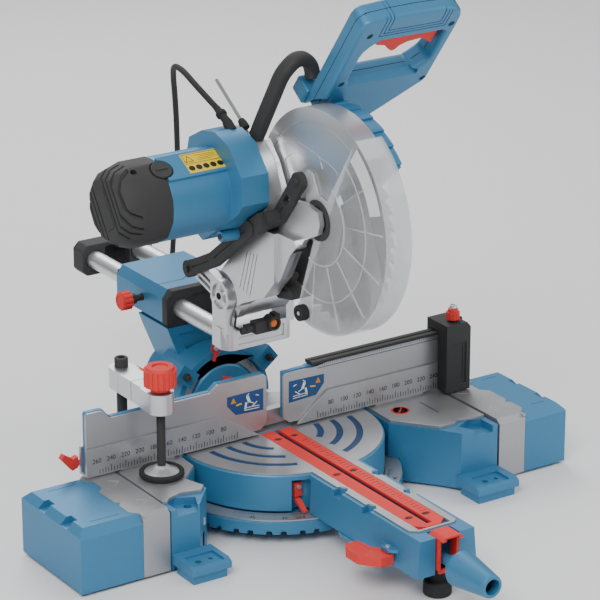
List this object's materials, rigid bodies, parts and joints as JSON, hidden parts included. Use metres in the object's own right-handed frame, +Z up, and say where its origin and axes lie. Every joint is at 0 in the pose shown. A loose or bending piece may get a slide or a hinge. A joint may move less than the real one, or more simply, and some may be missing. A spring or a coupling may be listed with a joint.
{
  "type": "sliding compound mitre saw",
  "caption": "Bench-top sliding compound mitre saw: turntable base with kerf slot, tall fences, extensions, clamp, tilting slide carriage and chopping head with blade guards.",
  "frame": {"origin": "mitre pivot axis on the bench surface, centre of the pivot boss underside", "axes": "+X along the fence to the right as the user sees it, +Y to the rear, +Z up"},
  "size_m": [0.714, 0.897, 0.6676],
  "materials": {
    "painted_blue": "satin moulded blue, light edge wear",
    "cast_aluminium": "satin cast and machined aluminium",
    "bright_steel": "ground and plated steel",
    "black_plastic": "fine moulded texture",
    "red_plastic": "satin moulded red",
    "clear_plastic": "clear polycarbonate, lightly scuffed",
    "rubber": "soft matte rubber"
  },
  "bodies": {
    "base": {"base_ring": "painted_blue", "base_wing_left": "painted_blue", "base_wing_right": "painted_blue", "mitre_scale": "cast_aluminium", "lower_fence": "cast_aluminium", "clamp_post": "black_plastic", "clamp_arm": "cast_aluminium", "cord_coil": "rubber", "plug": "rubber"},
    "extension_left": {"extension_table_left": "cast_aluminium", "extension_end_left": "painted_blue"},
    "extension_right": {"extension_table_right": "cast_aluminium", "extension_end_right": "painted_blue"},
    "fence_left": {"upper_fence_left": "cast_aluminium"},
    "fence_right": {"upper_fence_right": "cast_aluminium"},
    "lock_left": {"fence_lock_left": "red_plastic"},
    "lock_right": {"fence_lock_right": "red_plastic"},
    "length_stop": {"stop_block": "black_plastic"},
    "stop_screw": {"stop_knob": "red_plastic"},
    "wing_screw": {"clamp_wing_screw": "red_plastic"},
    "clamp_spindle": {"clamp_screw": "black_plastic"},
    "clamp_foot": {"clamp_pad": "cast_aluminium"},
    "table": {"turntable": "painted_blue", "kerf_insert": "red_plastic", "mitre_pointer": "red_plastic", "arm_foot": "rubber", "bevel_hub": "painted_blue", "cord_floor": "rubber"},
    "mitre_grip": {"mitre_knob": "painted_blue"},
    "detent": {"detent_lever": "red_plastic"},
    "cam": {"cam_lever": "red_plastic"},
    "bevel_frame": {"bevel_arm": "painted_blue", "slide_housing": "painted_blue", "bearing_cap": "black_plastic", "bevel_pointer": "red_plastic", "cord_bevel": "rubber"},
    "slide_knob": {"slide_lock_knob": "red_plastic"},
    "carriage": {"slide_tube_left": "bright_steel", "slide_tube_right": "bright_steel", "front_bridge": "cast_aluminium", "rear_bridge": "black_plastic", "line_light": "black_plastic", "cord_slide": "rubber"},
    "head": {"head_casting": "cast_aluminium", "upper_guard": "cast_aluminium", "handle": "painted_blue", "carry_handle": "black_plastic", "motor_housing": "painted_blue", "motor_cap": "black_plastic", "brush_cap": "black_plastic", "cord_gland": "rubber", "hex_key": "bright_steel", "dust_chute": "black_plastic", "cord_head": "rubber"},
    "blade": {"saw_blade": "bright_steel"},
    "guard": {"lower_guard": "clear_plastic"},
    "roller": {"guard_roller": "rubber"},
    "link": {"guard_link": "black_plastic"},
    "trigger": {"trigger": "red_plastic"},
    "button": {"lock_button": "red_plastic"}
  },
  "joints": [
    {"name": "mitre_turn", "type": "hinge", "parent": "base", "child": "table", "pos_m": [0, 0, 0.084], "axis": [0, 0, 1], "range_deg": [-45, 45], "deforming": ["cord_floor"]},
    {"name": "bevel_tilt", "type": "hinge", "parent": "table", "child": "bevel_frame", "pos_m": [0, 0.15, 0.084], "axis": [0, 1, 0], "range_deg": [-38, 45], "deforming": ["cord_bevel"]},
    {"name": "head_slide", "type": "slide", "parent": "bevel_frame", "child": "carriage", "axis": [0, -1, 0], "range_m": [-0.09, 0.085], "deforming": ["cord_slide"]},
    {"name": "chop", "type": "hinge", "parent": "carriage", "child": "head", "pos_m": [0, 0.056, 0.258], "axis": [1, 0, 0], "range_deg": [0, 50], "deforming": ["cord_head"]},
    {"name": "guard_turn", "type": "hinge", "parent": "head", "child": "guard", "pos_m": [0, -0.121, 0.402], "axis": [1, 0, 0], "range_deg": [-112, 0]},
    {"name": "link_swing", "type": "hinge", "parent": "carriage", "child": "link", "pos_m": [-0.059, 0.108, 0.281], "axis": [1, 0, 0], "range_deg": [0, 58]},
    {"name": "blade_spin", "type": "hinge", "parent": "head", "child": "blade", "pos_m": [0, -0.121, 0.402], "axis": [1, 0, 0], "continuous": true},
    {"name": "roller_spin", "type": "hinge", "parent": "guard", "child": "roller", "pos_m": [-0.0276, -0.096, 0.2795], "axis": [1, 0, 0], "continuous": true},
    {"name": "trigger_pull", "type": "slide", "parent": "head", "child": "trigger", "axis": [0, -0.6, 0.8], "range_m": [0, 0.005], "stiffness_N_per_m": 600, "springref_m": -0.003},
    {"name": "lock_button_push", "type": "slide", "parent": "head", "child": "button", "axis": [0, -0.8, -0.6], "range_m": [0, 0.003], "stiffness_N_per_m": 400, "springref_m": -0.002},
    {"name": "fence_left_slide", "type": "slide", "parent": "base", "child": "fence_left", "axis": [-1, 0, 0], "range_m": [0, 0.11]},
    {"name": "fence_right_slide", "type": "slide", "parent": "base", "child": "fence_right", "axis": [1, 0, 0], "range_m": [0, 0.1]},
    {"name": "fence_lock_left_turn", "type": "hinge", "parent": "base", "child": "lock_left", "pos_m": [-0.279, 0.023, 0.101], "axis": [0, 1, 0], "range_deg": [0, 60]},
    {"name": "fence_lock_right_turn", "type": "hinge", "parent": "base", "child": "lock_right", "pos_m": [0.256, 0.023, 0.101], "axis": [0, 1, 0], "range_deg": [-60, 0]},
    {"name": "stop_slide", "type": "slide", "parent": "fence_right", "child": "length_stop", "axis": [-1, 0, 0], "range_m": [0, 0.12]},
    {"name": "stop_screw_turn", "type": "hinge", "parent": "length_stop", "child": "stop_screw", "pos_m": [0.265, -0.006, 0.188], "axis": [0, 0, 1], "continuous": true},
    {"name": "extension_left_pull", "type": "slide", "parent": "base", "child": "extension_left", "axis": [-1, 0, 0], "range_m": [0, 0.05]},
    {"name": "extension_right_pull", "type": "slide", "parent": "base", "child": "extension_right", "axis": [1, 0, 0], "range_m": [0, 0.05]},
    {"name": "wing_screw_turn", "type": "hinge", "parent": "base", "child": "wing_screw", "pos_m": [-0.163, 0.06, 0.181], "axis": [1, 0, 0], "continuous": true},
    {"name": "clamp_travel", "type": "slide", "parent": "base", "child": "clamp_foot", "axis": [0, 0, 1], "range_m": [0, 0.03]},
    {"name": "clamp_turn", "type": "hinge", "parent": "clamp_foot", "child": "clamp_spindle", "pos_m": [-0.191, -0.036, 0.144], "axis": [0, 0, 1], "continuous": true},
    {"name": "mitre_grip_turn", "type": "hinge", "parent": "table", "child": "mitre_grip", "pos_m": [0, -0.42, 0.05], "axis": [0, 1, 0], "continuous": true},
    {"name": "detent_lift", "type": "hinge", "parent": "table", "child": "detent", "pos_m": [0, -0.346, 0.0827], "axis": [1, 0, 0], "range_deg": [0, 6], "stiffness_Nm_per_rad": 0.6, "springref_deg": -5.73},
    {"name": "cam_throw", "type": "hinge", "parent": "table", "child": "cam", "pos_m": [-0.05, -0.308, 0.046], "axis": [0, 0, 1], "range_deg": [0, 12]},
    {"name": "slide_knob_turn", "type": "hinge", "parent": "bevel_frame", "child": "slide_knob", "pos_m": [-0.08, 0.235, 0.203], "axis": [1, 0, 0], "continuous": true}
  ],
  "couplings": [
    {"joint": "guard_turn", "follows": "chop", "ratio": -2.095},
    {"joint": "link_swing", "follows": "chop", "ratio": 1.07}
  ]
}
